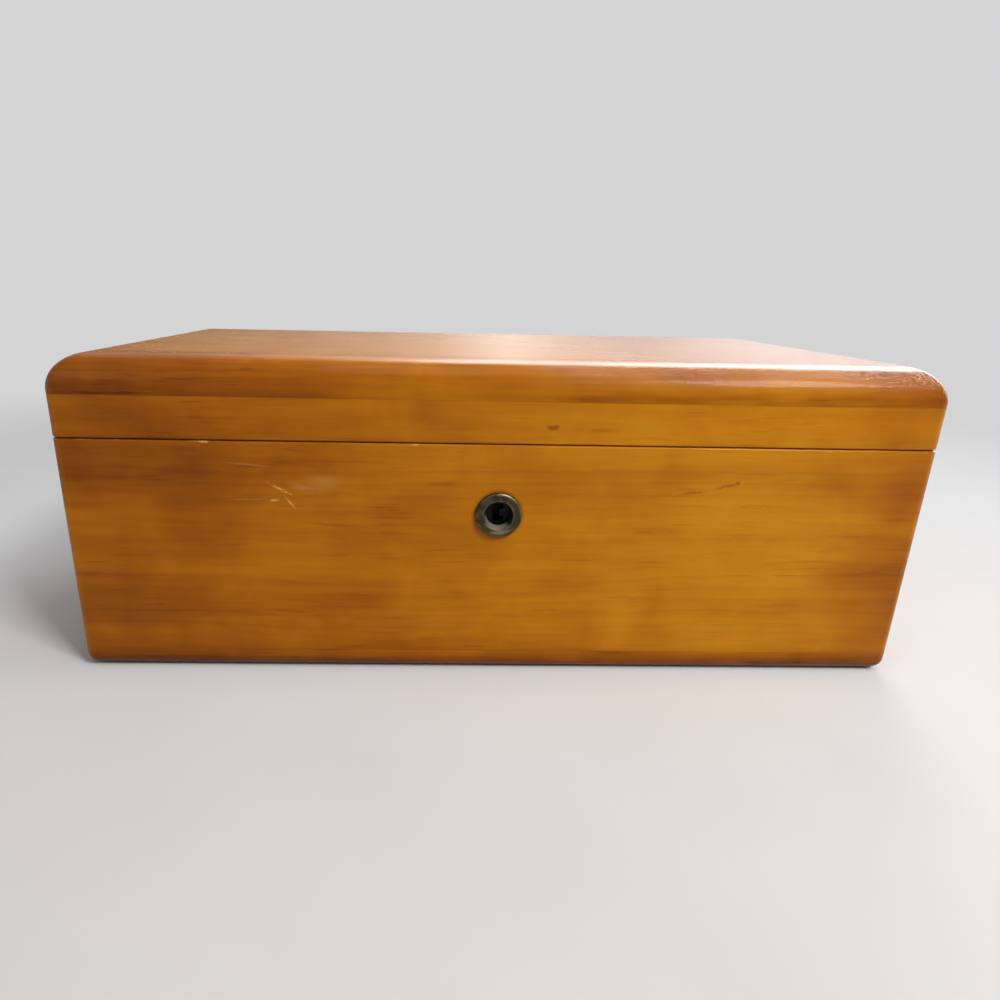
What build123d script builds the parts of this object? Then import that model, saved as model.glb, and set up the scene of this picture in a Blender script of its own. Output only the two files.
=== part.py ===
from build123d import *
import math
import os

# A miniature cedar keepsake chest with a hinged lid and a small key lock.
# Millimetres. +Z is up, the front faces -Y, the lid is hinged along the back.
# The origin is the centre of the chest's bounding box, on the surface that it stands on.

# Driving sizes of the wooden box
width = 235.0
depth = 120.65
height = 88.9
wall_t = 9.5
top_t = 9.9
bottom_t = 6.35
lid_height = 21.3
seam_gap = 0.35
top_round = 9.2
bottom_round = 4.2
corner_round = 2.5
seam_ease = 0.4
rabbet_lip = 3.3

# Driving sizes of the two butt hinges
hinge_from_end = 47.0
hinge_inset = 2.6
opening_angle = 100.0
stop_play = 1.0
leaf_length = 25.0
leaf_t = 0.9
leaf_margin = 0.6
knuckle_count = 5
barrel_r = 1.6
hinge_pin_r = 0.8
hinge_pin_round = 0.4
hinge_pin_overhang = 0.2
leaf_screw_inset = 3.6

# Driving sizes of the wood screws
screw_shank_r = 0.75
screw_head_r = 1.5
screw_head_h = 0.9
screw_slot_w = 0.4
screw_slot_d = 0.4
screw_shank_share = 0.7
hinge_screw_length = 8.0
plate_screw_length = 6.0
catch_screw_length = 7.5

# Driving sizes of the lock
ring_r = 6.3
ring_proud = 1.2
ring_edge_round = 0.6
mouth_edge_round = 0.3
barrel_tube_r = 4.4
plug_r = 3.2
dish_mouth_r = 4.0
dish_depth = 2.2
plug_length = 2.25
plug_flange_r = 4.3
plug_flange_t = 0.9
key_turn = 90.0
drive_circle_r = 3.6
drive_pin_r = 0.55
keyway_w = 3.0
keyway_h = 5.0
keyway_round_r = 2.7
ward_w = 1.1
ward_h = 1.9
case_depth = 5.3
case_wall = 0.6
plate_t = 1.0
plate_ear = 4.4
plate_below_case = 1.6
plate_corner_r = 1.5
plate_screw_rise = 3.0
plate_screw_drop = 5.0
bolt_t = 1.8
spine_h = 4.0
bolt_headroom = 4.0
finger_h = 2.2
post_w = 2.4
fork_wall = 1.3
guide_pin_r = 0.75
guide_wall = 1.4
guide_xs = [-6.0, 8.5]
catch_plate_t = 1.2
catch_screw_inset = 2.4
lug_t = 1.2
lug_w = 3.7
lug_bridge = 1.8
lug_spacing = 14.0
lug_end_round = 0.9
tenon_w = 2.4
spring_t = 0.4
spring_bend_r = 1.2
spring_shoulder = 4.0
spring_tail = 3.0
spring_tail_drop = 1.2

# Named clearances
screw_gap = 0.05
fit_gap = 0.05
knuckle_gap = 0.15
pocket_gap = 0.3
mortise_gap = 0.1
slide_gap = 0.15
drive_gap = 0.2
finger_gap = 0.4
lug_gap = 0.4
lug_swing_gap = 0.8
lug_floor_gap = 0.8
window_gap = 0.2
plug_end_gap = 0.15
plug_floor_gap = 1.2
bolt_front_gap = 0.8
fork_gap = 0.95
spring_gap = 0.08

# Places that follow from the driving sizes
front_y = -(depth + ring_proud) / 2 + ring_proud
back_y = front_y + depth
inner_front_y = front_y + wall_t
inner_x = width / 2 - wall_t
seam_z = height - lid_height
rim_z = seam_z - seam_gap / 2
lid_rim_z = seam_z + seam_gap / 2
top_under_z = height - top_t

# The hinge axis lies where the two stop bevels of the back edge meet
pin_y = back_y - hinge_inset
pin_z = seam_z
bevel_angle = (opening_angle + stop_play) / 2
hinge_xs = [-(width / 2 - hinge_from_end), width / 2 - hinge_from_end]
leaf_w = wall_t - hinge_inset - leaf_margin
knuckle_length = leaf_length / knuckle_count
leaf_screw_y = pin_y - (leaf_w + barrel_r) / 2
leaf_screw_dx = leaf_length / 2 - leaf_screw_inset

# Depths of the lock, measured along Y
case_front_y = inner_front_y - case_depth
barrel_end_y = case_front_y + fit_gap
plug_flange_y = barrel_end_y + plug_end_gap
plug_face_y = plug_flange_y - plug_length
plug_back_y = plug_flange_y + plug_flange_t
bolt_y = plug_back_y + bolt_front_gap
bolt_mid_y = bolt_y + bolt_t / 2
plate_back_y = inner_front_y + plate_t
case_outer_y = case_front_y - case_wall

# Heights of the lock, stacked down from the rim of the front board
selvedge_z = rim_z - plate_t
finger_top_z = selvedge_z - bolt_headroom
finger_z = finger_top_z - finger_h
window_low_z = finger_z - lug_gap
window_high_z = finger_top_z + lug_gap
lug_low_z = window_low_z - lug_bridge
spine_top_z = lug_low_z - lug_floor_gap
spine_z = spine_top_z - spine_h
guide_z = spine_z + spine_h / 2
lock_z = spine_z - fork_gap - drive_pin_r - drive_circle_r
case_floor_z = lock_z - plug_flange_r - plug_floor_gap
case_low_z = case_floor_z - case_wall
plate_low_z = case_low_z - plate_below_case

# Travel of the bolt for the whole turn of the key, which swings the drive pin evenly
# from one side of the vertical to the other
half_turn = math.radians(key_turn / 2)
travel = 2 * drive_circle_r * math.sin(half_turn)
pin_rest_x = -travel / 2
pin_low_z = lock_z + drive_circle_r * math.cos(half_turn)

# Places of the bolt's features along X at rest, which is with the lock open
lug_xs = [-lug_spacing / 2, lug_spacing / 2]
finger_length = travel + finger_gap / 2
guide_slot_reach = guide_pin_r + slide_gap
finger_tip_dx = -(lug_t / 2 + finger_gap)
bolt_left_x = lug_xs[0] + finger_tip_dx - finger_length - post_w
bolt_right_x = guide_xs[1] + guide_slot_reach + guide_wall
case_half_w = max(-bolt_left_x, bolt_right_x + travel) + finger_gap
case_outer_half_w = case_half_w + case_wall
plate_half_w = case_outer_half_w + plate_ear
plate_screw_x = case_outer_half_w + plate_ear / 2
plate_screw_zs = [case_low_z + plate_screw_rise, selvedge_z - plate_screw_drop]
catch_screw_x = plate_half_w - catch_screw_inset


# Helpers for plain shapes

def block(x0, x1, y0, y1, z0, z1):
    """A rectangular block between two values on each axis."""
    solid = Box(x1 - x0, y1 - y0, z1 - z0, align=(Align.MIN, Align.MIN, Align.MIN))
    return Pos(x0, y0, z0) * solid


def rod_x(x0, x1, y, z, radius):
    """A round rod along X."""
    solid = Cylinder(radius, x1 - x0, align=(Align.CENTER, Align.CENTER, Align.MIN))
    return Pos(x0, y, z) * Rot(0, 90, 0) * solid


def rod_y(x, y0, y1, z, radius):
    """A round rod along Y."""
    solid = Cylinder(radius, y1 - y0, align=(Align.CENTER, Align.CENTER, Align.MIN))
    return Pos(x, y0, z) * Rot(-90, 0, 0) * solid


def single(shape):
    """The one solid that a cut or a joined shape holds."""
    solids = shape.solids()
    assert len(solids) == 1, f"expected one solid, found {len(solids)}"
    return solids[0]


def screw_shape(length, grow):
    """A countersunk wood screw pointing down, with the top of its head at the origin."""
    neck_z = -screw_head_h
    taper_z = -length * screw_shank_share
    profile = Polyline(
        (0, 0),
        (screw_head_r + grow, 0),
        (screw_shank_r + grow, neck_z),
        (screw_shank_r + grow, taper_z),
        (0, -length - grow),
        close=True,
    )
    return revolve(Plane.XZ * make_face(profile), Axis.Z)


def wood_screw(length):
    """One slotted wood screw."""
    slot = Box(3 * screw_head_r, screw_slot_w, 2 * screw_slot_d)
    return single(screw_shape(length, 0) - slot)


# The wooden box

def rounded_block():
    """The whole outside of the closed chest, with its rounded edges."""

    def side(length):
        outline = Rectangle(length, height, align=(Align.CENTER, Align.MIN))
        outline = fillet(outline.vertices().group_by(Axis.Y)[-1], top_round)
        return fillet(outline.vertices().group_by(Axis.Y)[0], bottom_round)

    along_y = extrude(Plane.XZ * side(width), depth / 2, both=True)
    along_x = extrude(Plane.YZ * side(depth), width / 2, both=True)
    shape = along_y & along_x
    corner_x = width / 2 - top_round
    corner_y = depth / 2 - top_round
    creases = [
        edge
        for edge in shape.edges()
        if abs(edge.center().X) > corner_x and abs(edge.center().Y) > corner_y
    ]
    shape = shape.fillet(corner_round, creases)
    return Pos(0, (front_y + back_y) / 2, 0) * shape


def wall_ring(low_z, high_z, eased_z):
    """A solid slab of the chest's plan, with its edge at the seam slightly eased."""
    plan = RectangleRounded(width, depth, corner_round)
    slab = Pos(0, (front_y + back_y) / 2, low_z) * extrude(plan, high_z - low_z)
    face = min(slab.faces(), key=lambda f: abs(f.center().Z - eased_z))
    return fillet(face.edges(), seam_ease)


def back_bevels():
    """The V-shaped groove along the back seam, whose faces stop the opened lid."""
    run = 2 * hinge_inset
    rise = run * math.tan(math.radians(bevel_angle))
    outline = Polyline((pin_y, pin_z), (pin_y + run, pin_z + rise), (pin_y + run, pin_z - rise),
                       close=True)
    return extrude(Plane.YZ * make_face(outline), width, both=True)


def leaf_mortise(x, side):
    """The recess of one hinge leaf in the wood, and the room around its barrel."""
    face_z = pin_z + side * seam_gap / 2
    low, high = sorted([face_z, face_z + side * leaf_t])
    reach = leaf_length / 2 + mortise_gap
    recess = block(x - reach, x + reach, pin_y - leaf_w - mortise_gap, pin_y, low, high)
    round_room = rod_x(x - reach - pocket_gap, x + reach + pocket_gap, pin_y, pin_z,
                       barrel_r + pocket_gap)
    return recess + round_room


def hinge_screw_places(side):
    """Where the screws of both leaves on one side go, with their heads flush in the leaf."""
    face_z = pin_z + side * seam_gap / 2
    turn = Rot(0, 0, 0) if side < 0 else Rot(180, 0, 0)
    return [
        Pos(x + dx, leaf_screw_y, face_z) * turn
        for x in hinge_xs
        for dx in (-leaf_screw_dx, leaf_screw_dx)
    ]


def long_board(slab, low_z, high_z, face_y, inward):
    """A front or back board: it runs the whole length and is rabbeted over the end boards."""
    inner_y = face_y + inward * wall_t
    lip_y = face_y + inward * rabbet_lip
    board = slab & block(-width / 2, width / 2, min(face_y, inner_y), max(face_y, inner_y),
                         low_z, high_z)
    for sign in (-1, 1):
        x0, x1 = sorted([sign * inner_x, sign * width / 2])
        board -= block(x0, x1, min(lip_y, inner_y), max(lip_y, inner_y), low_z, high_z)
    return board


def end_board(slab, low_z, high_z, sign):
    """A left or right end board, set into the rabbets of the front and back boards."""
    x0, x1 = sorted([sign * inner_x, sign * width / 2])
    return slab & block(x0, x1, front_y + rabbet_lip, back_y - rabbet_lip, low_z, high_z)


def chest_walls():
    """The four walls of the chest below the seam."""
    slab = wall_ring(bottom_t, rim_z, rim_z) - back_bevels()
    front = long_board(slab, bottom_t, rim_z, front_y, 1)
    back = long_board(slab, bottom_t, rim_z, back_y, -1)
    front = front - lock_pocket()
    for x in hinge_xs:
        back = back - leaf_mortise(x, -1)
    for place in hinge_screw_places(-1):
        back = back - place * screw_shape(hinge_screw_length, screw_gap)
    for place in plate_screw_places():
        front = front - place * screw_shape(plate_screw_length, screw_gap)
    return {
        "front_board": single(front),
        "back_board": single(back),
        "left_end_board": single(end_board(slab, bottom_t, rim_z, -1)),
        "right_end_board": single(end_board(slab, bottom_t, rim_z, 1)),
    }


def lid_rails():
    """The four rails of the lid's rim, sawn from the same walls."""
    slab = wall_ring(lid_rim_z, top_under_z, lid_rim_z) - back_bevels()
    front = long_board(slab, lid_rim_z, top_under_z, front_y, 1)
    back = long_board(slab, lid_rim_z, top_under_z, back_y, -1)
    front = front - catch_recess()
    for x in hinge_xs:
        back = back - leaf_mortise(x, 1)
    for place in hinge_screw_places(1):
        back = back - place * screw_shape(hinge_screw_length, screw_gap)
    for place in catch_screw_places():
        front = front - place * screw_shape(catch_screw_length, screw_gap)
    return {
        "lid_front_rail": single(front),
        "lid_back_rail": single(back),
        "lid_left_rail": single(end_board(slab, lid_rim_z, top_under_z, -1)),
        "lid_right_rail": single(end_board(slab, lid_rim_z, top_under_z, 1)),
    }


def panels():
    """The bottom board under the walls, and the lid's top board over its rails."""
    outside = rounded_block()
    below = block(-width, width, -depth, depth, 0, bottom_t)
    above = block(-width, width, -depth, depth, top_under_z, height)
    return {"bottom_board": single(outside & below), "lid_top_board": single(outside & above)}


# The hinges

def hinge_leaf(x, side):
    """One leaf with its knuckles: side -1 is the chest's leaf, side 1 is the lid's."""
    face_z = pin_z + side * seam_gap / 2
    low, high = sorted([face_z, face_z + side * leaf_t])
    left = x - leaf_length / 2
    leaf = block(left, left + leaf_length, pin_y - leaf_w, pin_y, low, high)
    for index in range(knuckle_count):
        x0 = left + index * knuckle_length
        x1 = x0 + knuckle_length
        own = (index % 2 == 0) == (side < 0)
        if own:
            start = x0 if index == 0 else x0 + knuckle_gap / 2
            end = x1 if index == knuckle_count - 1 else x1 - knuckle_gap / 2
            leaf = leaf + rod_x(start, end, pin_y, pin_z, barrel_r)
        else:
            leaf = leaf - rod_x(x0 - knuckle_gap / 2, x1 + knuckle_gap / 2, pin_y, pin_z,
                                barrel_r + knuckle_gap)
    leaf = leaf - rod_x(left - 1, left + leaf_length + 1, pin_y, pin_z, hinge_pin_r + fit_gap)
    for place in hinge_screw_places(side):
        leaf = leaf - place * screw_shape(hinge_screw_length, screw_gap)
    return single(leaf)


def hinge_pin(x):
    """The pin of one hinge, with rounded ends that stand just out of the barrel."""
    reach = leaf_length / 2 + hinge_pin_overhang
    pin = rod_x(x - reach, x + reach, pin_y, pin_z, hinge_pin_r)
    ends = pin.edges().filter_by(GeomType.CIRCLE)
    return single(fillet(ends, hinge_pin_round))


def hinges():
    """Both hinges: leaves, pins and screws."""
    nodes = {
        "chest_hinge_leaves": [hinge_leaf(x, -1) for x in hinge_xs],
        "lid_hinge_leaves": [hinge_leaf(x, 1) for x in hinge_xs],
        "hinge_pins": [hinge_pin(x) for x in hinge_xs],
    }
    for name, side in (("chest_hinge_screws", -1), ("lid_hinge_screws", 1)):
        screw = wood_screw(hinge_screw_length)
        nodes[name] = [place * screw for place in hinge_screw_places(side)]
    return nodes


# The lock in the front board

def lock_pocket():
    """Everything cut from the front board for the lock."""
    half = case_outer_half_w + mortise_gap
    pocket_y = case_outer_y - mortise_gap
    pocket = block(-half, half, pocket_y, inner_front_y, case_low_z - mortise_gap, rim_z)
    half = plate_half_w + mortise_gap
    rebate = block(-half, half, pocket_y, inner_front_y, selvedge_z, rim_z)
    bore = rod_y(0, front_y, inner_front_y, lock_z, barrel_tube_r + fit_gap)
    return pocket + rebate + bore


def lug_slot(x):
    """The slot over one lug in the top edge of the lock plate."""
    half = lug_t / 2 + lug_gap
    return block(x - half, x + half, bolt_mid_y - lug_w / 2 - lug_swing_gap,
                 bolt_mid_y + lug_w / 2 + lug_gap, selvedge_z, rim_z)


def plate_screw_places():
    """The screws through the lock plate's ears, which point to the front."""
    return [
        Pos(sign * plate_screw_x, plate_back_y, z) * Rot(-90, 0, 0)
        for sign in (-1, 1)
        for z in plate_screw_zs
    ]


def lock_plate():
    """The lock's back plate on the inside of the front board, bent over its top edge."""
    back = block(-plate_half_w, plate_half_w, inner_front_y, plate_back_y, plate_low_z, rim_z)
    low_corners = back.edges().filter_by(Axis.Y).group_by(Axis.Z)[0]
    back = fillet(low_corners, plate_corner_r)
    selvedge = block(-plate_half_w, plate_half_w, case_outer_y, plate_back_y, selvedge_z, rim_z)
    plate = back + selvedge
    for x in lug_xs:
        plate = plate - lug_slot(x)
    for place in plate_screw_places():
        plate = plate - place * screw_shape(plate_screw_length, screw_gap)
    return single(plate)


def lock_case():
    """The tray that closes the lock towards the wood: front wall, floor and two sides."""
    outer = block(-case_outer_half_w, case_outer_half_w, case_outer_y, inner_front_y,
                  case_low_z, selvedge_z)
    hollow = block(-case_half_w, case_half_w, case_front_y, inner_front_y,
                   case_floor_z, selvedge_z)
    hole = rod_y(0, case_outer_y, case_front_y, lock_z, barrel_tube_r + fit_gap)
    return single(outer - hollow - hole)


def lock_barrel():
    """The round brass escutcheon with its dished mouth and the tube that holds the plug."""
    face_y = front_y - ring_proud
    ring = rod_y(0, face_y, front_y, lock_z, ring_r)
    rim = ring.edges().filter_by(GeomType.CIRCLE).group_by(Axis.Y)[0]
    ring = fillet(rim, ring_edge_round)
    tube = rod_y(0, front_y, barrel_end_y, lock_z, barrel_tube_r)
    bore = rod_y(0, face_y, barrel_end_y, lock_z, plug_r + fit_gap)
    dish = Cone(dish_mouth_r, plug_r + fit_gap, dish_depth,
                align=(Align.CENTER, Align.CENTER, Align.MIN))
    dish = Pos(0, face_y, lock_z) * Rot(-90, 0, 0) * dish
    barrel = ring + tube - bore - dish
    mouth = [
        edge
        for edge in barrel.edges().filter_by(GeomType.CIRCLE)
        if abs(edge.radius - dish_mouth_r) < 0.01
    ]
    return single(fillet(mouth, mouth_edge_round))


def keyway(low_y, high_y):
    """The hole for the key: upright, rounded to the plug, with one ward on its right side."""
    outline = Rectangle(keyway_w, keyway_h) & Circle(keyway_round_r)
    ward = Pos((keyway_w - ward_w) / 2, 0) * Rectangle(ward_w, ward_h)
    hole = extrude(outline - ward, high_y - low_y)
    return Pos(0, low_y, lock_z) * Rot(90, 0, 0) * Pos(0, 0, low_y - high_y) * hole


def key_plug():
    """The turning plug: its flange sits behind the barrel and carries the drive pin."""
    body = rod_y(0, plug_face_y, plug_flange_y, lock_z, plug_r)
    flange = rod_y(0, plug_flange_y, plug_back_y, lock_z, plug_flange_r)
    pin_end_y = bolt_y + bolt_t + drive_gap
    pin = rod_y(pin_rest_x, plug_back_y, pin_end_y, pin_low_z, drive_pin_r)
    return single(body + flange + pin - keyway(plug_face_y, plug_back_y))


def lock_bolt():
    """The sliding bolt: a spine, a fork for the drive pin and a finger for each lug."""
    y0 = bolt_y
    y1 = bolt_y + bolt_t
    bolt = block(bolt_left_x, bolt_right_x, y0, y1, spine_z, spine_top_z)
    for x in lug_xs:
        tip = x + finger_tip_dx
        root = tip - finger_length
        bolt = bolt + block(root - post_w, root, y0, y1, spine_z, finger_top_z)
        bolt = bolt + block(root - post_w, tip, y0, y1, finger_z, finger_top_z)
    slot_half = drive_pin_r + drive_gap
    fork_half = slot_half + fork_wall
    fork_low_z = pin_low_z - drive_pin_r
    slot_top_z = lock_z + drive_circle_r + drive_pin_r + drive_gap
    bolt = bolt + block(pin_rest_x - fork_half, pin_rest_x + fork_half, y0, y1,
                        fork_low_z, spine_z)
    bolt = bolt - block(pin_rest_x - slot_half, pin_rest_x + slot_half, y0, y1,
                        fork_low_z, slot_top_z)
    for x in guide_xs:
        bolt = bolt - block(x - travel - guide_slot_reach, x + guide_slot_reach, y0, y1,
                            guide_z - guide_slot_reach, guide_z + guide_slot_reach)
    return single(bolt)


def guide_pins():
    """The two fixed pins that the bolt slides along."""
    return [
        rod_y(x, case_front_y, inner_front_y, guide_z, guide_pin_r)
        for x in guide_xs
    ]


def bolt_spring():
    """The bowed strip that stands in the case's corner and rubs under the bolt."""
    wall_x = case_half_w - spring_gap - spring_t / 2
    foot_z = case_floor_z + spring_gap
    crest_z = spine_z - spring_gap - spring_t / 2
    crest_x = (bolt_right_x + case_half_w) / 2 - travel / 2
    line = FilletPolyline(
        (wall_x, foot_z),
        (wall_x, crest_z - spring_shoulder),
        (crest_x, crest_z),
        (crest_x - spring_tail, crest_z - spring_tail_drop),
        radius=spring_bend_r,
    )
    strip = extrude(trace(line, spring_t), -bolt_t)
    return single(Plane.XZ.offset(-bolt_y) * strip)


# The catch under the lid's front rail

def catch_recess():
    """The recess of the catch plate in the lid's front rail."""
    half = plate_half_w + mortise_gap
    return block(-half, half, case_outer_y - mortise_gap, inner_front_y,
                 lid_rim_z, lid_rim_z + catch_plate_t)


def catch_screw_places():
    """The screws that hold the catch plate, which point up."""
    y = (case_outer_y + inner_front_y) / 2
    return [Pos(sign * catch_screw_x, y, lid_rim_z) * Rot(180, 0, 0) for sign in (-1, 1)]


def catch_plate():
    """The plate under the lid's front rail that carries the lugs."""
    plate = block(-plate_half_w, plate_half_w, case_outer_y, inner_front_y,
                  lid_rim_z, lid_rim_z + catch_plate_t)
    for x in lug_xs:
        plate = plate - block(x - lug_t / 2, x + lug_t / 2, bolt_mid_y - tenon_w / 2,
                              bolt_mid_y + tenon_w / 2, lid_rim_z, lid_rim_z + catch_plate_t)
    for place in catch_screw_places():
        plate = plate - place * screw_shape(catch_screw_length, screw_gap)
    return single(plate)


def catch_lug(x):
    """One lug, riveted through the catch plate, with the window that the finger enters."""
    half = lug_t / 2
    lug = block(x - half, x + half, bolt_mid_y - lug_w / 2, bolt_mid_y + lug_w / 2,
                lug_low_z, lid_rim_z)
    tenon = block(x - half, x + half, bolt_mid_y - tenon_w / 2, bolt_mid_y + tenon_w / 2,
                  lid_rim_z, lid_rim_z + catch_plate_t)
    reach = bolt_t / 2 + window_gap
    window = block(x - lug_t, x + lug_t, bolt_mid_y - reach, bolt_mid_y + reach,
                   window_low_z, window_high_z)
    lug = lug + tenon - window
    low_edges = lug.edges().filter_by(Axis.X).group_by(Axis.Z)[0]
    return single(fillet(low_edges, lug_end_round))


def lock():
    """Every piece of the lock and its catch."""
    plate_screw = wood_screw(plate_screw_length)
    catch_screw = wood_screw(catch_screw_length)
    return {
        "lock_barrel": lock_barrel(),
        "key_plug": key_plug(),
        "lock_bolt": lock_bolt(),
        "lock_plate": lock_plate(),
        "lock_case": lock_case(),
        "lock_guide_pins": guide_pins(),
        "bolt_spring": bolt_spring(),
        "lock_plate_screws": [place * plate_screw for place in plate_screw_places()],
        "catch_plate": catch_plate(),
        "catch_lugs": [catch_lug(x) for x in lug_xs],
        "catch_screws": [place * catch_screw for place in catch_screw_places()],
    }


def build():
    """All pieces of the chest, by name."""
    nodes = {}
    nodes.update(panels())
    nodes.update(chest_walls())
    nodes.update(lid_rails())
    nodes.update(hinges())
    nodes.update(lock())
    return nodes


def main():
    os.makedirs("parts", exist_ok=True)
    for name, shape in build().items():
        group = Compound(shape) if isinstance(shape, list) else shape
        export_step(group, f"parts/{name}.step")
    print("bolt travel", round(travel, 3), "mm, lock axis height", round(lock_z, 3), "mm")
    print("hinge axis at y", round(pin_y, 3), "z", round(pin_z, 3))


main()
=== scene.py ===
import math

import bpy
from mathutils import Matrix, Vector

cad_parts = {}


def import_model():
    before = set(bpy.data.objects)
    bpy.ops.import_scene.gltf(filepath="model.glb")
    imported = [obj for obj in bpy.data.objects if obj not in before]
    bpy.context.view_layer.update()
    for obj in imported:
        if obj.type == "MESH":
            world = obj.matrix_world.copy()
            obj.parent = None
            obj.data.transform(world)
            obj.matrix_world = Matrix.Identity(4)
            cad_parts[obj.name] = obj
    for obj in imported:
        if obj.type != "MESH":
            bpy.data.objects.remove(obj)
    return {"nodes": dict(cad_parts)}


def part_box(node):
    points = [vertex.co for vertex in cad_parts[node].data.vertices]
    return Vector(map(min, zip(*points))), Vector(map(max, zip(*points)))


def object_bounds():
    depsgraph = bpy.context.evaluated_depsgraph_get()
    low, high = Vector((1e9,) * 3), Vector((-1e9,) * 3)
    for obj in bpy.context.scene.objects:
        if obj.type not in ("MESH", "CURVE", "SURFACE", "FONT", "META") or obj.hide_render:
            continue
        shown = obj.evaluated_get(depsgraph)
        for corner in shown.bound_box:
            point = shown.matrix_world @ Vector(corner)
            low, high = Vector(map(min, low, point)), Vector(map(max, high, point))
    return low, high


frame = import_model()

# Looks of the cedar chest: solid procedural wood under varnish, tarnished brass and steel.
# The chest is as long as X and its front faces -Y. Materials work in millimetres on the chest at
# rest, and the floor, the lamps and the camera are placed in metres.

cad_lo, cad_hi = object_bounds()
nodes = frame["nodes"]
MM = 1000.0


def millimetres(node):
    """The lowest and highest corner of a CAD node at rest, in millimetres."""
    low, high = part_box(node)
    return [value * MM for value in low], [value * MM for value in high]


# Places on the chest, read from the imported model
HALF_LENGTH = cad_hi[0] * MM
TOP_Z = cad_hi[2] * MM
BACK_Y = millimetres("back_board")[1][1]
FRONT_Y = millimetres("front_board")[0][1]
MIDDLE_Y = (FRONT_Y + BACK_Y) / 2
HALF_DEPTH = (BACK_Y - FRONT_Y) / 2
RIM_Z = millimetres("front_board")[1][2]
LID_RIM_Z = millimetres("lid_front_rail")[0][2]
SEAM_Z = (RIM_Z + LID_RIM_Z) / 2
SEAM_HALF = (LID_RIM_Z - RIM_Z) / 2
TOP_BOARD_Z = millimetres("lid_top_board")[0][2]
BOTTOM_BOARD_Z = millimetres("bottom_board")[1][2]
LOCK_LO, LOCK_HI = millimetres("lock_barrel")
LOCK_Z = (LOCK_LO[2] + LOCK_HI[2]) / 2
RING_R = (LOCK_HI[2] - LOCK_LO[2]) / 2


def rgb(r, g, b):
    return (r, g, b, 1.0)


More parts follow.
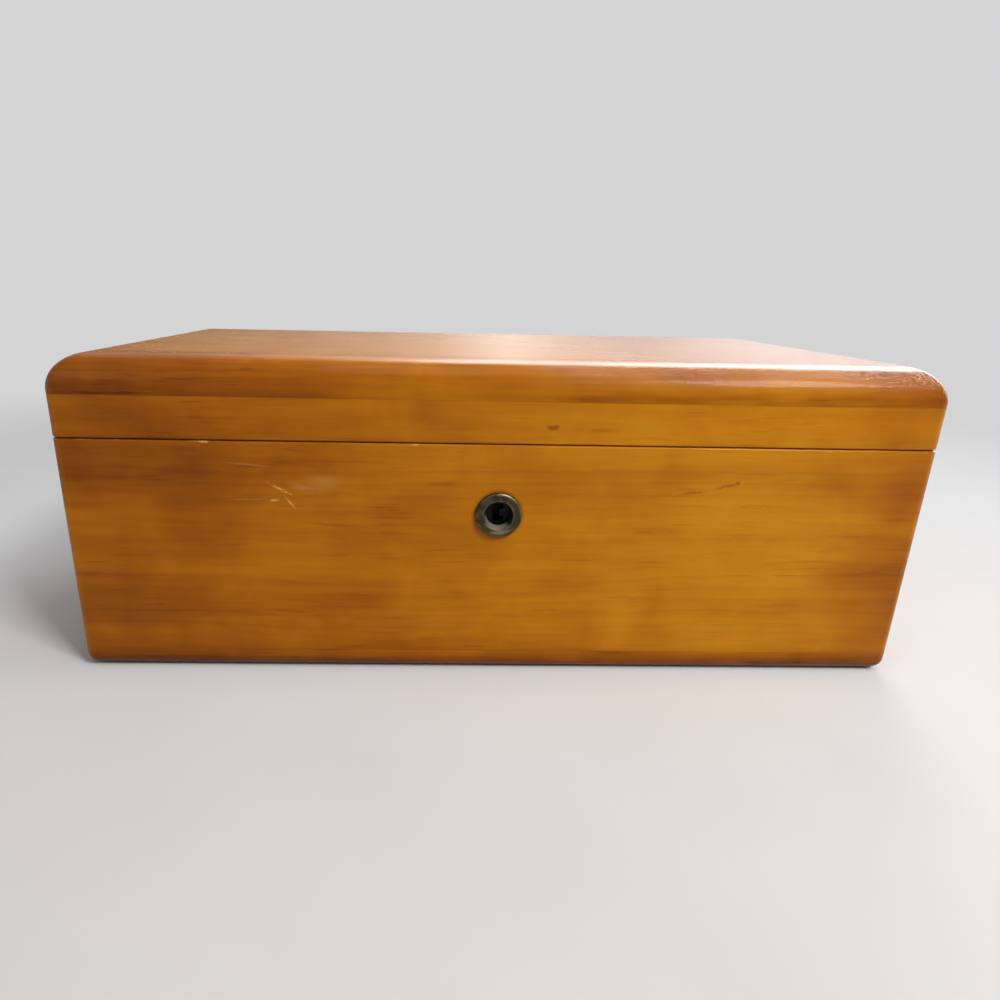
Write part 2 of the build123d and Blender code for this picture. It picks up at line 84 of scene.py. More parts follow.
class Graph:
    """Short calls that build the node tree of a material or a world."""

    def __init__(self, owner):
        owner.use_nodes = True
        self.owner = owner
        self.tree = owner.node_tree
        self.tree.nodes.clear()

    def put(self, socket, value):
        """Links a socket's output to an input, or sets the input's own value."""
        if isinstance(value, bpy.types.NodeSocket):
            self.tree.links.new(value, socket)
        else:
            socket.default_value = value

    def node(self, kind, inputs, **settings):
        """A new node with its settings, and its inputs by name or by number."""
        node = self.tree.nodes.new(kind)
        for key, value in settings.items():
            setattr(node, key, value)
        for key, value in inputs.items():
            self.put(node.inputs[key], value)
        return node

    def math(self, operation, a, b=0.0):
        return self.node("ShaderNodeMath", {0: a, 1: b}, operation=operation).outputs[0]

    def chain(self, operation, values):
        """The values joined by one operation, from the first to the last."""
        result = values[0]
        for value in values[1:]:
            result = self.math(operation, result, value)
        return result

    def add(self, *values):
        return self.chain("ADD", values)

    def times(self, *values):
        return self.chain("MULTIPLY", values)

    def largest(self, *values):
        return self.chain("MAXIMUM", values)

    def smallest(self, *values):
        return self.chain("MINIMUM", values)

    def subtract(self, a, b):
        return self.math("SUBTRACT", a, b)

    def absolute(self, a):
        return self.math("ABSOLUTE", a)

    def total(self, base, *terms):
        """The base plus each term's value times its weight."""
        for value, weight in terms:
            inputs = {0: value, 1: weight, 2: base}
            base = self.node("ShaderNodeMath", inputs, operation="MULTIPLY_ADD").outputs[0]
        return base

    def step(self, value, low, high):
        """0 up to low, 1 from high on, smooth between them. With low over high it falls."""
        inputs = {"Value": value, "From Min": low, "From Max": high}
        node = self.node("ShaderNodeMapRange", inputs, interpolation_type="SMOOTHSTEP")
        return node.outputs[0]

    def band(self, value, centre, half, soft):
        """1 within half of the centre, falling to 0 over the soft width."""
        away = self.absolute(self.subtract(value, centre))
        return self.step(away, half + soft, half)

    def vector(self, operation, a, b):
        node = self.node("ShaderNodeVectorMath", {0: a, 1: b}, operation=operation)
        return node.outputs["Vector"]

    def length(self, a):
        return self.node("ShaderNodeVectorMath", {0: a}, operation="LENGTH").outputs["Value"]

    def split(self, vector):
        node = self.node("ShaderNodeSeparateXYZ", {0: vector})
        return node.outputs[0], node.outputs[1], node.outputs[2]

    def join(self, x, y, z):
        return self.node("ShaderNodeCombineXYZ", {0: x, 1: y, 2: z}).outputs[0]

    def object_place(self):
        """The point on the object, in metres. Every piece's origin is the chest's."""
        return self.node("ShaderNodeTexCoord", {}).outputs["Object"]

    def noise(self, point, cycles, detail=2.0, rough=0.5, distortion=0.0, colour=False):
        """Noise over a point, with its cycles per unit on all axes or on each of the three."""
        stretch = cycles if isinstance(cycles, tuple) else (cycles, cycles, cycles)
        inputs = {
            "Vector": self.vector("MULTIPLY", point, stretch),
            "Scale": 1.0,
            "Detail": detail,
            "Roughness": rough,
            "Distortion": distortion,
        }
        return self.node("ShaderNodeTexNoise", inputs).outputs["Color" if colour else 0]

    def wavy(self, point, waves, reach):
        """A point moved by a coloured noise, by up to half the reach each way."""
        offset = self.vector("SUBTRACT", waves, (0.5, 0.5, 0.5))
        return self.vector("ADD", point, self.vector("MULTIPLY", offset, reach))

    def mix(self, share, a, b):
        """Colour a, with that share of colour b over it."""
        # The colour sockets share their names with others, so they go by number
        node = self.node("ShaderNodeMix", {0: share, 6: a, 7: b}, data_type="RGBA")
        return node.outputs[2]

    def ramp(self, value, stops):
        """A colour ramp through (place, colour) stops."""
        node = self.node("ShaderNodeValToRGB", {0: value})
        elements = node.color_ramp.elements
        while len(elements) < len(stops):
            elements.new(0.5)
        for element, (place, colour) in zip(elements, stops):
            element.position = place
            element.color = colour
        return node.outputs[0]

    def curve(self, value, stops):
        """A value ramp through (place, value) stops."""
        return self.ramp(value, [(place, rgb(level, level, level)) for place, level in stops])

    def bump(self, height, depth_mm, strength=1.0):
        """A normal from a height of 0 to 1 that stands for that many millimetres."""
        inputs = {"Height": height, "Distance": depth_mm / MM, "Strength": strength}
        return self.node("ShaderNodeBump", inputs).outputs[0]

    def glow(self, colour, strength):
        return self.node("ShaderNodeEmission", {"Color": colour, "Strength": strength}).outputs[0]

    def blend(self, share, a, b):
        """Shader a, with that share of shader b in its place."""
        return self.node("ShaderNodeMixShader", {0: share, 1: a, 2: b}).outputs[0]

    def surface(self, shader):
        """Ends the tree of a material with its shader."""
        self.node("ShaderNodeOutputMaterial", {"Surface": shader})


class Solid(Graph):
    """A material that runs right through its piece, by the place on the chest in millimetres."""

    def __init__(self, name):
        super().__init__(bpy.data.materials.new(name))
        self.point = self.vector("MULTIPLY", self.object_place(), (MM, MM, MM))
        self.x, self.y, self.z = self.split(self.point)

    def finish(self, inputs):
        self.surface(self.node("ShaderNodeBsdfPrincipled", inputs).outputs[0])

    def lock_radius(self):
        """The distance from the lock's axis."""
        return self.length(self.join(self.x, 0.0, self.subtract(self.z, LOCK_Z)))


# Marks on the front board and the lid's front rail, listed: centre X and Z, half length
# and half height in millimetres, and slope in degrees
DARK_DASHES = [
    (-43.8, 35.8, 3.6, 0.45, 1), (-30.0, 34.9, 6.4, 0.55, 1), (22.8, 35.0, 6.2, 0.55, 0),
    (43.7, 34.5, 6.2, 0.5, 1), (68.7, 43.0, 7.4, 0.55, 0), (98.4, 43.0, 9.6, 0.5, 0),
    (70.5, 51.6, 8.6, 0.45, 0), (88.0, 35.3, 8.0, 0.45, 1), (-45.0, 44.7, 9.0, 0.55, -4),
    (-71.5, 38.6, 6.0, 0.4, 3), (38.0, 23.5, 9.0, 0.6, -2), (82.0, 21.5, 9.5, 0.55, 1),
    (-58.0, 18.5, 9.0, 0.5, -2), (14.5, 19.4, 6.0, 0.5, 3), (110.0, 48.0, 5.5, 0.5, 3),
]
DARK_SLANTS = [(61.2, 56.9, 3.4, 0.5, 14), (64.3, 57.9, 0.9, 0.8, 0), (52.2, 55.0, 3.6, 0.35, 8)]
PALE_SCRATCHES = [
    (-58.7, 54.6, 4.6, 0.42, -28), (-56.1, 50.7, 2.6, 0.36, -52), (-60.5, 51.4, 1.6, 0.45, 6),
]
PALE_PATCHES = [
    (-67.0, 51.6, 6.0, 0.35, 1), (-66.5, 61.2, 7.0, 0.4, -5), (-47.0, 56.5, 5.6, 3.0, 4),
    (-52.6, 55.1, 4.4, 1.5, -14),
]
RAIL_KNOTS = [(14.0, 72.6, 0.9, 0.6, 0), (13.0, 72.2, 1.7, 0.7, -12)]
SEAM_CHIPS = [(-22.7, RIM_Z - 0.2, 1.1, 0.35, 0), (-77.8, RIM_Z - 0.2, 1.6, 0.3, 0)]

# How deep a mark goes in millimetres, where it ends, and where its full strength starts in a
# crisp and in a soft one, as shares of its half size
MARK_DEPTH = 2.5
MARK_END = 1.25
CRISP = 0.35
SOFT = 0.1

# Wood colours, from the palest early wood to the darkest late wood
VARNISHED = [
    (0.0, rgb(0.60, 0.250, 0.006)),
    (0.30, rgb(0.45, 0.155, 0.002)),
    (0.60, rgb(0.29, 0.078, 0.001)),
    (1.0, rgb(0.10, 0.020, 0.001)),
]
RAW = [
    (0.0, rgb(0.64, 0.35, 0.185)),
    (0.4, rgb(0.53, 0.245, 0.115)),
    (0.7, rgb(0.40, 0.150, 0.066)),
    (1.0, rgb(0.23, 0.070, 0.032)),
]
# Painted light: the pale colour mixed into the top face where light falls on it
PAINTED_TOP_LIGHT = rgb(0.82, 0.33, 0.02)
GLUE_LINE = rgb(0.11, 0.035, 0.004)
WORN_VARNISH = rgb(0.60, 0.30, 0.06)
SCRATCHED = rgb(0.82, 0.49, 0.14)
SCUFFED = rgb(0.80, 0.47, 0.14)
GRIME = rgb(0.20, 0.062, 0.006)

# How dark a growth ring is, from its early wood to the next ring's
RING_TONES = [(0.0, 0.10), (0.12, 0.0), (0.55, 0.22), (0.86, 1.0), (0.93, 0.85), (1.0, 0.10)]
# How far the rings wander, and how far a seed of 1 moves a board's patterns, in millimetres
WANDER = 13.0
SEED_SHIFT = (37.0, 11.0, 5.0)
# About what the patterns of the wood add up to on average
PATTERN_MEAN = 0.745

# Where the varnish goes, in millimetres: how deep it reaches below the outer surface, how far in
# over the rims, and how high it stops above the underside
VARNISH_DEPTH = 3.0
VARNISH_OVER_RIM = 0.9
VARNISH_FOOT = 0.02
# How far from the chest's upright corners it is worn thin, half the width of a glue line, and how
# far from the seam a rim is worn
WORN_CORNER = 3.0
GLUE_HALF = 0.03
WORN_RIM = 0.10


class Cedar(Solid):
    """Varnished cedar as a solid: rings round a pith, and fibres along the grain.

    along is the grain's axis, pith the place of the rings' centre across it, in millimetres,
    tone how much darker the board is than the lightest one, seed what sets its patterns apart,
    ring_mm a ring's width, and end_tone_and_shade how much darker its left end is, partly its own
    tone and partly painted shade. The right one gets 3/4.
    """

    # How strongly dust, hairs and fibres stand out of the varnish
    grit = 1.0

    def __init__(self, name, along, pith, tone, seed, ring_mm=3.1, end_tone_and_shade=0.0):
        super().__init__(name)
        lengthwise, sideways = (self.x, self.y) if along == "X" else (self.y, self.x)
        shift = tuple(seed * distance for distance in SEED_SHIFT)
        self.grain = self.vector("ADD", self.join(lengthwise, sideways, self.z), shift)
        self.late = self.rings(sideways, pith, ring_mm, seed)
        self.streak = self.fibres(0.024, 0.28, detail=2.5, distortion=0.3)
        self.fine = self.fibres(0.045, 1.3)
        self.fibre = self.fibres(0.10, 4.2, detail=3.0, rough=0.6)

        shade = self.own_shade(tone)
        raw_colour = self.ramp(self.total(-0.10, (shade, 1.25)), RAW)
        colour = self.aged(self.varnished(self.with_painted_end_and_foot_shade(shade, end_tone_and_shade)))
        bare = self.bare_wood()
        relief = self.total(0.0, (self.fibre, 0.6), (self.fine, 0.4), (self.late, 0.25))
        smear = self.noise(self.point, (0.04, 0.04, 0.09), detail=3.0)
        self.finish({
            "Base Color": self.mix(bare, colour, raw_colour),
            "Roughness": self.total(0.27, (smear, 0.20), (self.fibre, 0.10), (bare, 0.28)),
            "Specular IOR Level": 0.03,
            "Coat Weight": self.subtract(1.0, bare),
            "Coat Roughness": 0.11,
            "Coat IOR": 1.17,
            "Normal": self.bump(relief, 0.03, strength=self.total(0.3, (bare, 0.7))),
            "Coat Normal": self.bump(self.varnish_height(), 0.022),
        })

    def fibres(self, along, across, **settings):
        """Noise in cycles per millimetre along and across the grain."""
        return self.noise(self.grain, (along, across, across), **settings)

    def rings(self, sideways, pith, ring_mm, seed):
        """How much late wood there is: ragged rings round a wandering pith, not all as dark."""
        centred = self.join(0.0, self.subtract(sideways, pith[0]), self.subtract(self.z, pith[1]))
        wander = self.fibres(0.007, 0.030, detail=3.0, rough=0.55, colour=True)
        radius = self.length(self.wavy(centred, wander, (0.0, WANDER, WANDER)))
        ragged = self.fibres(0.05, 0.9)
        age = self.total(0.0, (radius, 1.0 / ring_mm), (ragged, 0.30))
        late = self.curve(self.math("FRACT", age), RING_TONES)
        year = self.noise(self.join(age, seed, 0.0), (0.35, 1.0, 1.0), detail=1.0)
        return self.times(late, self.step(year, 0.30, 0.72))

    def own_shade(self, tone):
        """How dark the wood itself is, with bands, blotches and short dashes along the grain."""
        bands = self.fibres(0.0085, 0.060, distortion=0.4)
        blotches = self.fibres(0.040, 0.046, detail=3.0, rough=0.55, distortion=0.5)
        dashes = self.step(self.fibres(0.075, 0.95, detail=1.5), 0.58, 0.74)
        clusters = self.step(self.fibres(0.02, 0.06, detail=1.0), 0.42, 0.60)
        return self.total(
            tone - PATTERN_MEAN,
            (self.late, 0.09), (bands, 0.50), (blotches, 0.50), (self.streak, 0.24),
            (self.fine, 0.14), (self.fibre, 0.09), (self.times(dashes, clusters), 0.12),
        )

    def with_painted_end_and_foot_shade(self, shade, end_tone_and_shade):
        """The shade with painted shade added: darker to the left and right, partly the wood's own
        tone, and darker along the bottom.
        """
        # Partly painted shade: darker towards both ends, as if less lit there, partly the wood's
        # own tone
        left = self.step(self.x, HALF_LENGTH * 0.38, -HALF_LENGTH * 1.07)
        right = self.step(self.x, HALF_LENGTH * 0.60, HALF_LENGTH * 1.04)
        # Painted shade: darker along the bottom, where less light falls on the rounded lower edge
        bottom = self.step(self.z, BOTTOM_BOARD_Z + 2.5, -0.5)
        return self.total(shade, (left, end_tone_and_shade), (right, end_tone_and_shade * 0.75), (bottom, 0.52))

    def varnished(self, shade):
        """The varnished wood's colour."""
        return self.ramp(shade, VARNISHED)

    def aged(self, colour):
        """Fine dark glue lines, and corners and rims where the varnish is worn thin."""
        joints = (TOP_BOARD_Z, BOTTOM_BOARD_Z)
        lines = [self.band(self.z, height, GLUE_HALF, 0.10) for height in joints]
        glue = self.times(self.largest(*lines), self.step(self.fibres(0.03, 0.05), 0.3, 0.6))
        reach = self.add(self.absolute(self.x), self.absolute(self.subtract(self.y, MIDDLE_Y)))
        worn_from = HALF_LENGTH + HALF_DEPTH - WORN_CORNER
        corner = self.step(reach, worn_from, worn_from + 1.8)
        chipped = self.noise(self.point, (0.25, 0.25, 0.6), detail=3.0)
        rim = self.times(self.band(self.z, SEAM_Z, SEAM_HALF + WORN_RIM, 0.20),
                         self.step(chipped, 0.58, 0.72))
        colour = self.mix(self.times(glue, 0.55), colour, GLUE_LINE)
        return self.mix(self.total(0.0, (corner, 0.16), (rim, 0.35)), colour, WORN_VARNISH)

    def bare_wood(self):
        """1 well inside the outer surface, on the rims and underneath, where no varnish is."""
        depth = self.smallest(
            self.subtract(HALF_LENGTH, self.absolute(self.x)),
            self.subtract(self.y, FRONT_Y), self.subtract(BACK_Y, self.y),
            self.subtract(TOP_Z, self.z),
        )
        ragged = self.total(depth, (self.noise(self.point, 0.7), 0.5))
        rims = self.times(self.band(self.z, SEAM_Z, SEAM_HALF + 0.02, 0.03),
                          self.step(ragged, VARNISH_OVER_RIM, VARNISH_OVER_RIM + 0.4))
        underneath = self.step(self.z, VARNISH_FOOT + 0.04, VARNISH_FOOT)
        inside = self.step(depth, VARNISH_DEPTH, VARNISH_DEPTH + 0.3)
        return self.largest(inside, rims, underneath)

    def varnish_height(self):
        """Slight orange peel, with dust, hairs and the fibres of the wood."""
        peel = self.noise(self.point, 0.55)
        dust = self.step(self.noise(self.point, 2.6), 0.60, 0.78)
        hairs = self.noise(self.point, (0.35, 0.35, 4.0), detail=3.0)
        return self.total(0.0, (peel, 0.55), (dust, 0.30 * self.grit),
                          (hairs, 0.10 * self.grit), (self.fibre, 0.12 * self.grit))

    def marks(self, point, places, core=CRISP):
        """1 inside any of the flat ellipses on the front face, 0 away from them."""
        result = 0.0
        for x, z, half_length, half_height, slope in places:
            inputs = {
                "Vector": point,
                "Location": (x, FRONT_Y, z),
                "Rotation": (0.0, -math.radians(slope), 0.0),
                "Scale": (half_length, MARK_DEPTH, half_height),
            }
            local = self.node("ShaderNodeMapping", inputs, vector_type="TEXTURE").outputs[0]
            result = self.largest(result, self.step(self.length(local), MARK_END, core))
        return result


class FrontBoard(Cedar):
    """The front board, with dashes in the grain, pale scratches and grime round the lock."""

    def varnished(self, shade):
        point = self.wavy(self.point, self.noise(self.point, 0.5, colour=True), (2.4, 0.0, 1.1))
        dashes = self.times(self.marks(point, DARK_DASHES, SOFT), 0.14)
        slants = self.times(self.marks(point, DARK_SLANTS), 0.30)
        return super().varnished(self.add(shade, self.largest(dashes, slants)))

    def aged(self, colour):
        pale = self.largest(self.marks(self.point, PALE_SCRATCHES, SOFT),
                            self.marks(self.point, SEAM_CHIPS))
        broken = self.step(self.noise(self.point, (0.9, 0.9, 2.0), detail=3.0), 0.30, 0.62)
        patches = self.marks(self.point, PALE_PATCHES, SOFT)
        ragged = self.add(self.lock_radius(), self.noise(self.point, 0.8))
        grime = self.step(ragged, RING_R + 1.7, RING_R + 0.3)
        colour = self.mix(self.times(pale, broken, 0.54), super().aged(colour), SCRATCHED)
        colour = self.mix(self.times(patches, 0.13), colour, SCUFFED)
        return self.mix(self.times(grime, 0.6), colour, GRIME)


class FrontRail(Cedar):
    """The lid's front rail, with a small knot."""

    def varnished(self, shade):
        return super().varnished(self.total(shade, (self.marks(self.point, RAIL_KNOTS), 0.34)))


class TopBoard(Cedar):
    """The top board: painted lighter on top where light falls on it, smooth, and finely pitted
    along its front round-over.
    """

    grit = 0.25

    def varnished(self, shade):
        brim = self.times(self.step(self.z, TOP_BOARD_Z + 4.0, TOP_BOARD_Z + 0.5),
                          self.step(self.streak, 0.40, 0.62), self.step(self.x, -20.0, 40.0))
        # Painted light: the top face lighter where light falls on it, less towards the front edge
        # and to the right, where its reflection shows instead
        painted_top_light = self.times(self.step(self.z, TOP_Z - 2.5, TOP_Z - 0.3),
                              self.step(self.y, FRONT_Y, FRONT_Y + 25.0),
                              self.total(1.0, (self.step(self.x, -5.0, 60.0), -0.90)))
        colour = super().varnished(self.total(shade, (brim, 0.16), (painted_top_light, -0.45)))
        return self.mix(self.times(painted_top_light, 0.32), colour, PAINTED_TOP_LIGHT)

    def varnish_height(self):
        pits = self.noise(self.point, (1.0, 1.7, 1.7), detail=3.0, rough=0.6)
        rounded = self.times(self.step(self.z, TOP_BOARD_Z + 2.0, TOP_BOARD_Z + 4.5),
                             self.step(self.z, TOP_Z - 0.5, TOP_Z - 2.0),
                             self.step(self.y, FRONT_Y + 9.0, FRONT_Y + 6.0),
                             self.step(self.x, -5.0, 30.0))
        pitted = self.times(self.step(pits, 0.50, 0.60), rounded)
        return self.total(super().varnish_height(), (pitted, 2.4))


# Metal: painted black shade behind the keyhole with its radius in millimetres, and the radius at
# which the lock's ring turns down into its dish
KEYHOLE_SHADE = rgb(0.010, 0.009, 0.010)
KEYHOLE_SHADE_R = 4.2
MOUTH_R = 4.05


def metal(name, clean, dull, dark, wear, rough, grain):
    """Metal with a patina: clean where it's rubbed, dull over most of it, dark in spots.

    wear is how much of it is clean, and grain the brush marks' cycles per millimetre. Behind the
    keyhole it is painted black, as the shade there.
    """
    g = Solid(name)
    # Painted shade: black behind the keyhole, where the lock's inside lies in shade
    keyhole_shade = g.times(g.step(g.lock_radius(), KEYHOLE_SHADE_R, KEYHOLE_SHADE_R - 1.0), g.step(g.y, 0.0, -1.0))
    cloud = g.noise(g.point, 0.33, detail=5.0, rough=0.6)
    speck = g.noise(g.point, 2.2, detail=3.0, rough=0.6)
    brushed = g.noise(g.point, grain, detail=3.0, rough=0.6)
    rubbed = g.step(g.total(cloud, (brushed, 0.25)), 0.86 - wear, 1.02 - wear)
    colour = g.mix(rubbed, dull, clean)
    colour = g.mix(g.times(g.step(speck, 0.60, 0.78), 0.75), colour, dark)
    g.finish({
        "Base Color": g.mix(g.times(keyhole_shade, 0.93), colour, KEYHOLE_SHADE),
        "Metallic": 1.0,
        "Roughness": g.total(rough - 0.12, (cloud, 0.22), (g.step(speck, 0.5, 0.75), 0.16),
                             (rubbed, -0.08)),
        "Normal": g.bump(g.total(0.0, (speck, 0.5), (brushed, 0.5)), 0.012),
    })
    return g


def old_brass():
    """The tarnished escutcheon and plug: olive brown, with painted highlights, partly real rubbing,
    on its rim and dish, and painted black shade deep in its bore.
    """
    g = Solid("tarnished_brass")
    rise = g.subtract(g.z, LOCK_Z)
    radius = g.lock_radius()
    cloud = g.noise(g.point, 0.55, detail=4.0, rough=0.6)
    speck = g.noise(g.point, 3.0, detail=3.0, rough=0.6)
    dish = g.step(radius, MOUTH_R, MOUTH_R - 0.35)
    # Painted highlights, partly real rubbing: the lower left of the dish and the upper right of the
    # ring catch the light, and the key and hands rub them
    lit_and_rubbed_low_left = g.step(g.total(0.0, (g.x, -0.36), (rise, -0.93)), 0.9, 2.4)
    lit_and_handled_high_right = g.step(g.total(0.0, (g.x, 0.70), (rise, 0.71)), 1.0, 5.2)

    # Tarnish, browner at the right
    colour = g.mix(g.step(cloud, 0.35, 0.68), rgb(0.040, 0.032, 0.021), rgb(0.082, 0.068, 0.038))
    colour = g.mix(g.times(g.step(g.x, 1.0, 5.0), 0.6), colour, rgb(0.058, 0.042, 0.032))

    # Painted highlights, partly real rubbing, on the ring's rim and mouth, and a painted highlight
    # as a paler arc low on the ring
    rim = g.times(g.step(radius, RING_R - 0.75, RING_R - 0.1),
                  g.step(g.y, FRONT_Y + 0.4, FRONT_Y - 0.9))
    mouth = g.band(radius, MOUTH_R, 0.12, 0.35)
    lit_and_rubbed_edges = g.times(g.total(0.0, (rim, 0.30), (mouth, 0.30)),
                     g.total(0.15, (lit_and_handled_high_right, 0.9), (lit_and_rubbed_low_left, 0.6)),
                     g.step(cloud, 0.28, 0.62))
    colour = g.mix(lit_and_rubbed_edges, colour, rgb(0.50, 0.42, 0.17))
    low = g.step(g.total(0.0, (g.x, 0.14), (rise, -0.99)), 4.0, 4.7)
    arc_highlight = g.times(g.band(radius, 4.8, 0.3, 0.5), low)
    colour = g.mix(g.times(arc_highlight, 0.42), colour, rgb(0.42, 0.36, 0.22))

    # The dark dish with a painted highlight, partly real rubbing, on its lower left, and painted
    # black shade deep behind it
    colour = g.mix(g.times(dish, 0.8), colour, rgb(0.036, 0.031, 0.028))
    rubbed = g.times(dish, lit_and_rubbed_low_left, g.step(g.y, FRONT_Y + 1.05, FRONT_Y + 0.75))
    colour = g.mix(g.times(rubbed, 0.95), colour, rgb(0.80, 0.72, 0.54))
    deep = g.step(g.y, FRONT_Y + 0.9, FRONT_Y + 1.2)
    colour = g.mix(g.times(deep, 0.95), colour, rgb(0.010, 0.009, 0.012))
    colour = g.mix(g.times(g.step(speck, 0.58, 0.74), 0.7), colour, rgb(0.05, 0.036, 0.022))

    # Turning marks run round the axis
    turned = g.noise(g.join(g.times(radius, 9.0), 0.0, 0.0), 1.0)
    g.finish({
        "Base Color": colour,
        "Metallic": 1.0,
        "Roughness": g.total(0.30, (cloud, 0.20), (speck, 0.12), (lit_and_rubbed_edges, -0.12)),
        "Normal": g.bump(g.total(0.0, (turned, 0.5), (speck, 0.35), (cloud, 0.4)), 0.014),
    })
    return g


def dress(graph, *names):
    """Gives CAD nodes the material of a graph."""
    for name in names:
        mesh = nodes[name].data
        mesh.materials.clear()
        mesh.materials.append(graph.owner)


dress(FrontBoard("cedar_front", "X", pith=(40.0, -92.0), tone=0.23, seed=1.3, end_tone_and_shade=0.40),
      "front_board")
dress(FrontRail("cedar_lid_front", "X", pith=(36.0, -20.0), tone=0.22, seed=4.1, ring_mm=2.7,
                end_tone_and_shade=0.44), "lid_front_rail")
dress(TopBoard("cedar_top", "X", pith=(8.0, 140.0), tone=0.44, seed=7.7, ring_mm=2.9,
               end_tone_and_shade=0.28), "lid_top_board")
dress(Cedar("cedar_bottom", "X", pith=(-14.0, -60.0), tone=0.30, seed=9.2, end_tone_and_shade=0.24),
      "bottom_board")
dress(Cedar("cedar_back", "X", pith=(-50.0, -70.0), tone=0.30, seed=12.9), "back_board")
dress(Cedar("cedar_lid_back", "X", pith=(20.0, 10.0), tone=0.30, seed=15.3), "lid_back_rail")
dress(Cedar("cedar_left", "Y", pith=(30.0, -40.0), tone=0.50, seed=18.8), "left_end_board")
dress(Cedar("cedar_lid_left", "Y", pith=(-60.0, 20.0), tone=0.48, seed=21.4), "lid_left_rail")
dress(Cedar("cedar_right", "Y", pith=(-40.0, -60.0), tone=0.38, seed=24.6), "right_end_board")
dress(Cedar("cedar_lid_right", "Y", pith=(70.0, 10.0), tone=0.37, seed=27.9), "lid_right_rail")

dress(old_brass(), "lock_barrel", "key_plug")
dress(metal("hinge_brass", clean=rgb(0.86, 0.66, 0.32), dull=rgb(0.60, 0.44, 0.19),
            dark=rgb(0.16, 0.10, 0.04), wear=0.16, rough=0.34, grain=(0.25, 4.0, 4.0)),
      "chest_hinge_leaves", "lid_hinge_leaves", "hinge_pins")
dress(metal("lock_brass", clean=rgb(0.76, 0.58, 0.28), dull=rgb(0.48, 0.35, 0.15),
            dark=rgb(0.15, 0.10, 0.05), wear=0.06, rough=0.44, grain=(0.2, 5.0, 5.0)),
      "lock_plate", "lock_case", "catch_plate")
dress(metal("screw_brass", clean=rgb(0.80, 0.60, 0.28), dull=rgb(0.52, 0.38, 0.17),
            dark=rgb(0.12, 0.08, 0.04), wear=0.20, rough=0.36, grain=(2.0, 2.0, 2.0)),
      "chest_hinge_screws", "lid_hinge_screws", "lock_plate_screws", "catch_screws")
dress(metal("worn_steel", clean=rgb(0.62, 0.61, 0.59), dull=rgb(0.42, 0.41, 0.40),
            dark=rgb(0.14, 0.09, 0.06), wear=0.15, rough=0.36, grain=(0.3, 5.0, 5.0)),
      "lock_bolt", "lock_guide_pins", "bolt_spring", "catch_lugs")

# Floor and world: one pale tone, which the floor fades into between two distances from the
# chest, in millimetres, and how far the floor reaches, in metres
PALE = rgb(0.66, 0.66, 0.665)
MOTTLED_PALE = rgb(0.60, 0.60, 0.605)
FADE_NEAR = 260.0
FADE_FAR = 620.0
FLOOR_REACH = 30.0
AMBIENT = 0.26

# The card behind the chest: its place in metres, and how bright it is at each X, with no change
# beyond the first and the last
CARD_Y = 1.0
CARD_LEFT = -2.0
CARD_RIGHT = 6.0
CARD_TOP = 3.0
CARD_COLOUR = rgb(0.90, 0.94, 1.0)
CARD_TONES = [(-0.56, 0.06), (-0.28, 0.11), (-0.10, 0.17), (0.0, 0.24),
              (0.13, 0.46), (0.24, 0.34), (0.38, 0.32), (0.60, 0.50)]
TONES_REACH = 1.0


def seen(g):
    """1 for camera, glossy and transmission rays, 0 for the rays that light the chest."""
    path = g.node("ShaderNodeLightPath", {}).outputs
    return g.largest(path["Is Camera Ray"], path["Is Glossy Ray"], path["Is Transmission Ray"])


def in_scene(name, data):
    """A new object in the scene."""
    piece = bpy.data.objects.new(name, data)
    bpy.context.scene.collection.objects.link(piece)
    return piece


def staged_sheet(graph, name, corners):
    """A flat four-cornered sheet that isn't part of the chest."""
    mesh = bpy.data.meshes.new(name)
    mesh.from_pydata(corners, [], [(0, 1, 2, 3)])
    mesh.materials.append(graph.owner)
    piece = in_scene(name, mesh)
    return piece


def floor():
    g = Solid("floor")
    mottle = g.mix(g.noise(g.point, 0.02, detail=4.0), MOTTLED_PALE, PALE)
    matt = g.node("ShaderNodeBsdfDiffuse", {"Color": mottle}).outputs[0]
    fade = g.times(g.step(g.length(g.point), FADE_NEAR, FADE_FAR), seen(g))
    g.surface(g.blend(fade, matt, g.glow(PALE, 1.0)))
    low, high = -FLOOR_REACH, FLOOR_REACH
    staged_sheet(g, "floor", [(low, low, 0.0), (high, low, 0.0), (high, high, 0.0),
                              (low, high, 0.0)])


def world():
    """An even ambient light, and the pale tone where the camera or a shiny surface sees it."""
    g = Graph(bpy.data.worlds.new("studio"))
    bpy.context.scene.world = g.owner
    warm = rgb(1.0, 0.99, 0.98)
    ambient = g.node("ShaderNodeBackground", {"Color": warm, "Strength": AMBIENT})
    shown = g.node("ShaderNodeBackground", {"Color": PALE, "Strength": 1.0})
    both = g.blend(seen(g), ambient.outputs[0], shown.outputs[0])
    g.node("ShaderNodeOutputWorld", {"Surface": both})


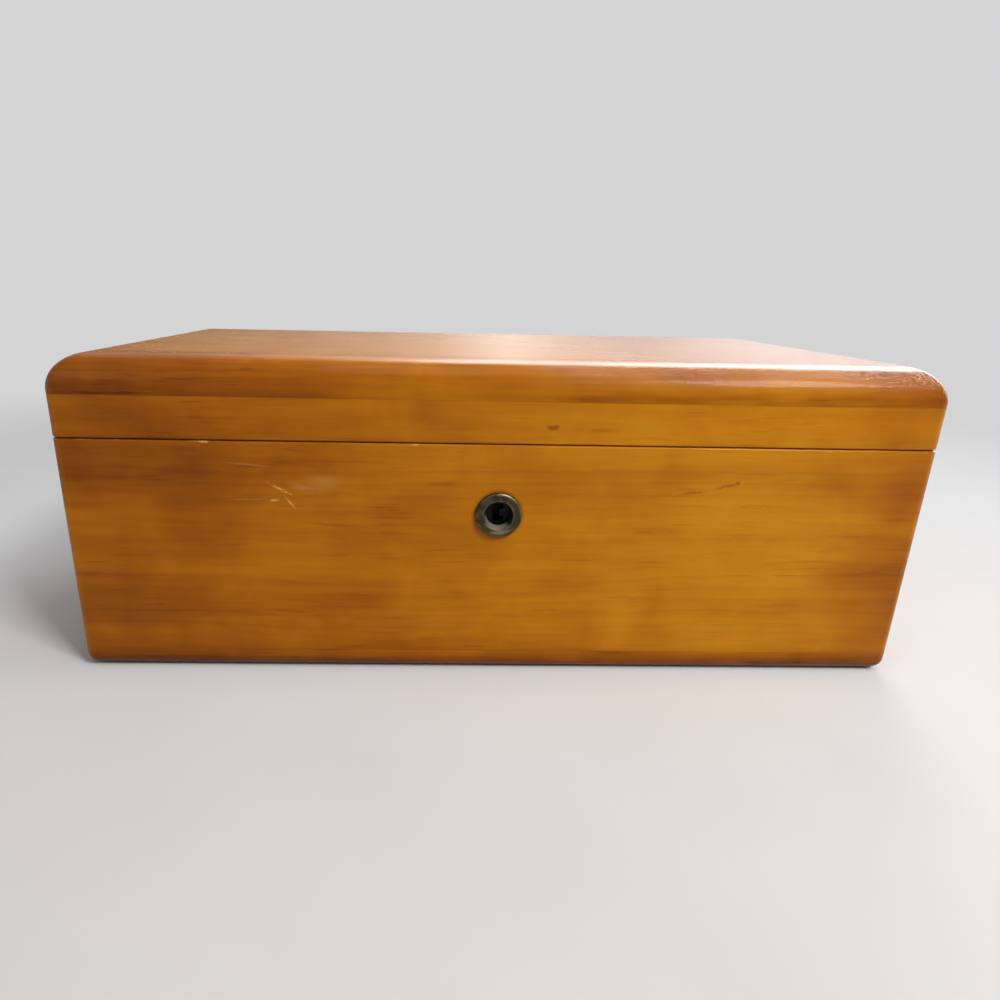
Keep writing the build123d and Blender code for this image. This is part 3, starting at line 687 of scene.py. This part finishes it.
def graded_card():
    """A tall card behind the chest, pale to the right, which only shiny surfaces show."""
    g = Graph(bpy.data.materials.new("card"))
    x, _, z = g.split(g.object_place())
    inputs = {"Value": x, "From Min": -TONES_REACH, "From Max": TONES_REACH}
    share = g.node("ShaderNodeMapRange", inputs).outputs[0]
    tone = g.curve(share, [((place / TONES_REACH + 1.0) / 2, level) for place, level in CARD_TONES])
    # The round-over reflects the upper part, at angles where varnish reflects less
    upper = g.total(2.1, (g.step(z, 0.22, 1.25), 16.0))
    high = g.times(g.step(z, 0.80, 1.35), g.step(x, -0.34, 0.20))
    strength = g.total(0.0, (g.times(tone, upper), 1.0), (high, 13.0))
    g.surface(g.glow(CARD_COLOUR, g.times(strength, g.step(z, 2.7, 1.6))))
    g.owner.cycles.emission_sampling = "NONE"
    piece = staged_sheet(g, "card", [(CARD_LEFT, CARD_Y, 0.0), (CARD_RIGHT, CARD_Y, 0.0),
                                     (CARD_RIGHT, CARD_Y, CARD_TOP), (CARD_LEFT, CARD_Y, CARD_TOP)])
    piece.visible_camera = False
    piece.visible_diffuse = False
    piece.visible_transmission = False
    piece.visible_shadow = False


def lamp(name, place, target, size, watts, colour=(1.0, 1.0, 1.0)):
    """A rectangular softbox of that width and height, which points at a target."""
    data = bpy.data.lights.new(name, "AREA")
    data.shape = "RECTANGLE"
    data.size, data.size_y = size
    data.energy = watts
    data.color = colour
    piece = in_scene(name, data)
    piece.location = place
    piece.rotation_mode = "QUATERNION"
    piece.rotation_quaternion = (Vector(place) - Vector(target)).to_track_quat("Z", "Y")
    piece.visible_camera = False
    return piece


def lights():
    lamp("key", place=(0.46, -0.50, 0.70), target=(0.05, -0.03, 0.05), size=(0.25, 0.25),
         watts=6.5, colour=(1.0, 0.985, 0.96))
    lamp("fill", place=(-0.9, -0.7, 0.7), target=(0.0, 0.0, 0.05), size=(0.8, 0.8), watts=1.5)
    lamp("overhead", place=(0.20, -0.12, 0.75), target=(0.20, -0.02, 0.09), size=(0.70, 0.36),
         watts=1.8)
    window = lamp("window", place=(0.55, 1.05, 0.52), target=(0.05, 0.0, 0.08),
                  size=(0.55, 0.55), watts=8.0, colour=(0.96, 0.97, 1.0))
    window.visible_glossy = False
    graded_card()


# The photograph's camera, as fitted to the outline of the chest: its place in metres, its turns
# about X, Y and Z from a view straight down, in degrees, and its sensor and lens in millimetres
CAMERA_PLACE = (-0.020141, -0.228383, 0.106271)
CAMERA_TURNS = (72.1986, -1.1165, -1.0614)
CAMERA_SENSOR = 36.0
CAMERA_LENS = 23.666
CAMERA_SHIFT = 0.06


def camera():
    data = bpy.data.cameras.new("camera")
    data.sensor_fit = "HORIZONTAL"
    data.sensor_width = CAMERA_SENSOR
    data.lens = CAMERA_LENS
    data.shift_x = CAMERA_SHIFT
    data.clip_start = 0.01
    piece = in_scene("camera", data)
    piece.location = CAMERA_PLACE
    piece.rotation_euler = [math.radians(turn) for turn in CAMERA_TURNS]
    bpy.context.scene.camera = piece


floor()
world()
lights()
camera()
bpy.context.scene.view_settings.view_transform = "Standard"
